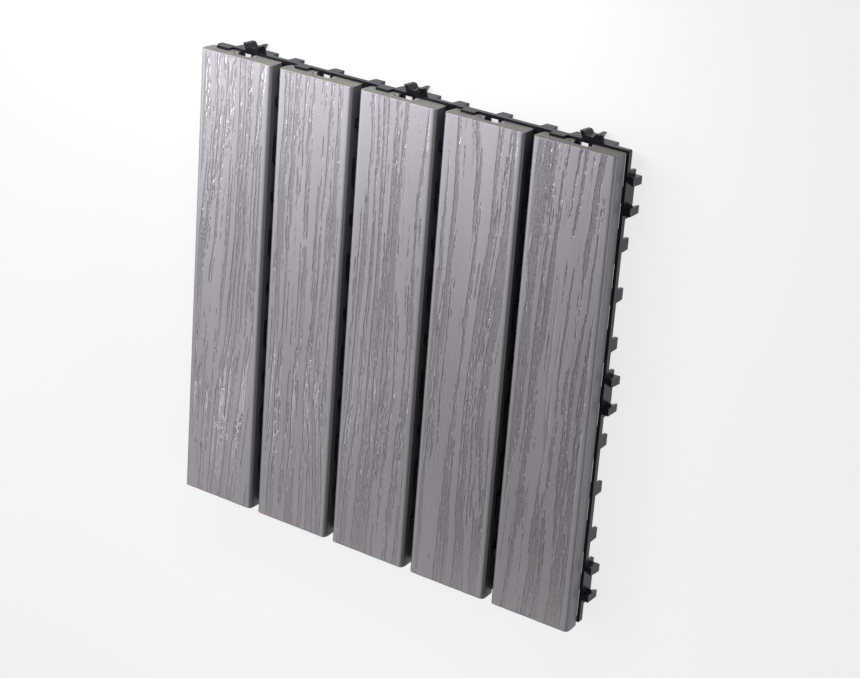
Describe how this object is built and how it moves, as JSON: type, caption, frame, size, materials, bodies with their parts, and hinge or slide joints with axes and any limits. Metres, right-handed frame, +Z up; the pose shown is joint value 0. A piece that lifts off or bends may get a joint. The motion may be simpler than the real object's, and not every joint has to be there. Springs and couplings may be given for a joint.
{
  "type": "interlocking deck tile",
  "caption": "Square outdoor floor tile of parallel wood-grained composite slats clipped on a moulded plastic lattice base, with fishtail tongues and hooks that lock to the next tile.",
  "frame": {"origin": "on the ground under the centre of the moulded base; the slat field sits 2.3 mm towards -X and 2 mm towards -Y of it", "axes": "+Z up, out of the deck face; +Y along the slats, towards the end with the fishtails; +X across the slats, towards the side with the hook pairs seen in the picture"},
  "size_m": [0.306, 0.306, 0.022],
  "materials": {
    "black_plastic": "moulded black polypropylene, softly satin",
    "composite_slat": "matt grey wood-plastic composite, embossed with wood grain on the deck face"
  },
  "bodies": {
    "root": {"base_grid": "black_plastic", "slat_1": "composite_slat", "slat_2": "composite_slat", "slat_3": "composite_slat", "slat_4": "composite_slat", "slat_5": "composite_slat"}
  },
  "joints": []
}
